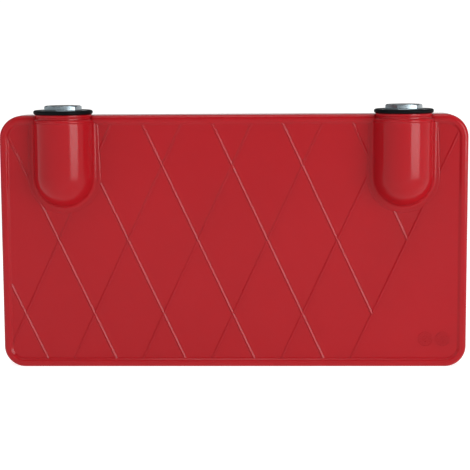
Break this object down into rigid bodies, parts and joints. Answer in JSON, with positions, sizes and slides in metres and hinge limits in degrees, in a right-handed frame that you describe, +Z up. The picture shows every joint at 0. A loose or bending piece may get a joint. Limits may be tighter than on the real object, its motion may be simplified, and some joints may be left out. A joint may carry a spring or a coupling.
{
  "type": "water filled barrier panel",
  "caption": "Flat hollow moulded panel tank with a ribbed front face and screw-plugged filler necks along the top edge, filled with liquid.",
  "frame": {"origin": "middle of the bottom edge, half way through the panel's 44 mm thickness", "axes": "+X along the panel's long edge, +Y through the panel away from the front face that carries the filler necks, +Z up, along the neck and plug axes"},
  "size_m": [0.6023, 0.0795, 0.3398],
  "materials": {
    "moulded_red": "glossy red moulded polyethylene",
    "plated_steel": "zinc plated, slightly worn",
    "insert_brass": "turned brass",
    "ring_rubber": "black EPDM rubber"
  },
  "bodies": {
    "tank": {"front_shell": "moulded_red", "rear_shell": "moulded_red", "left_neck_insert": "insert_brass", "right_neck_insert": "insert_brass", "left_insert_seal": "ring_rubber", "right_insert_seal": "ring_rubber"},
    "left_ring_carrier": {"left_plug_ring": "ring_rubber"},
    "left_plug_body": {"left_plug": "plated_steel"},
    "right_ring_carrier": {"right_plug_ring": "ring_rubber"},
    "right_plug_body": {"right_plug": "plated_steel"}
  },
  "joints": [
    {"name": "left_plug_lift", "type": "slide", "parent": "tank", "child": "left_ring_carrier", "axis": [0, 0, 1], "range_m": [0, 0.021]},
    {"name": "left_plug_turn", "type": "hinge", "parent": "left_ring_carrier", "child": "left_plug_body", "pos_m": [-0.2172, -0.0195, 0.3286], "axis": [0, 0, 1], "range_deg": [0, 3240]},
    {"name": "right_plug_lift", "type": "slide", "parent": "tank", "child": "right_ring_carrier", "axis": [0, 0, 1], "range_m": [0, 0.021]},
    {"name": "right_plug_turn", "type": "hinge", "parent": "right_ring_carrier", "child": "right_plug_body", "pos_m": [0.2172, -0.0195, 0.3286], "axis": [0, 0, 1], "range_deg": [0, 3240]}
  ],
  "couplings": [
    {"joint": "left_plug_lift", "follows": "left_plug_turn", "m_per_rad": 0.00036749},
    {"joint": "right_plug_lift", "follows": "right_plug_turn", "m_per_rad": 0.00036749}
  ]
}
